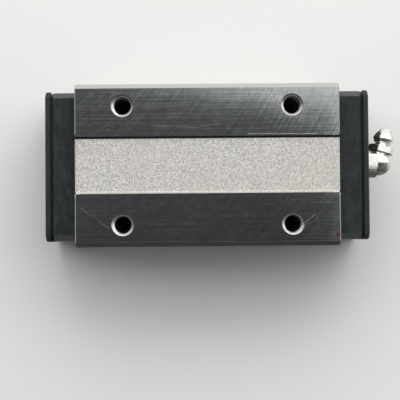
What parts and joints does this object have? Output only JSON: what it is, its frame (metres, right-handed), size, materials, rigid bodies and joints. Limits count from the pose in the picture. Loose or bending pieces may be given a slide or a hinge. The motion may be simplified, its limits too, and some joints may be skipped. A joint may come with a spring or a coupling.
{
  "type": "linear bearing block",
  "caption": "Square linear bearing block for a profile rail, ground steel body with tapped mounting holes, dark plastic end caps and an angled grease nipple.",
  "frame": {"origin": "centre of the hole pattern on the mounting face", "axes": "+X along the travel towards the grease nipple, +Y across the block, +Z out of the mounting face, away from the rail"},
  "size_m": [0.1052, 0.048, 0.0345],
  "materials": {
    "body_steel": "ground",
    "ball_steel": "polished",
    "retainer_plastic": "moulded",
    "guide_plastic": "moulded",
    "cap_plastic": "fine moulded grain",
    "seal_rubber": "satin",
    "plate_steel": "rolled",
    "screw_steel": "black oxide",
    "nipple_plate": "bright nickel plate",
    "spring_steel": "drawn"
  },
  "bodies": {
    "block": {"ball_circuit_lower_left": "ball_steel", "ball_circuit_lower_right": "ball_steel", "ball_circuit_upper_left": "ball_steel", "ball_circuit_upper_right": "ball_steel", "bottom_seal_left": "seal_rubber", "bottom_seal_right": "seal_rubber", "cap_screws_front": "screw_steel", "cap_screws_rear": "screw_steel", "carriage_body": "body_steel", "end_cap_front": "cap_plastic", "end_cap_rear": "cap_plastic", "end_seal_front": "seal_rubber", "end_seal_rear": "seal_rubber", "lower_retainer_left": "retainer_plastic", "lower_retainer_right": "retainer_plastic", "nipple_elbow": "nipple_plate", "nipple_head": "nipple_plate", "nipple_spring": "spring_steel", "port_plug": "screw_steel", "return_guide_front_left": "guide_plastic", "return_guide_front_right": "guide_plastic", "return_guide_rear_left": "guide_plastic", "return_guide_rear_right": "guide_plastic", "seal_plate_front": "plate_steel", "seal_plate_rear": "plate_steel", "side_retainer_left": "retainer_plastic", "side_retainer_right": "retainer_plastic", "top_retainer": "retainer_plastic"},
    "check_ball": {"nipple_check_ball": "ball_steel"}
  },
  "joints": [
    {"name": "check_ball_travel", "type": "slide", "parent": "block", "child": "check_ball", "axis": [-0.2588, -0.9659, 0], "range_m": [0, 0.0008], "stiffness_N_per_m": 20, "springref_m": -0.0005, "deforming": ["nipple_spring"]}
  ]
}
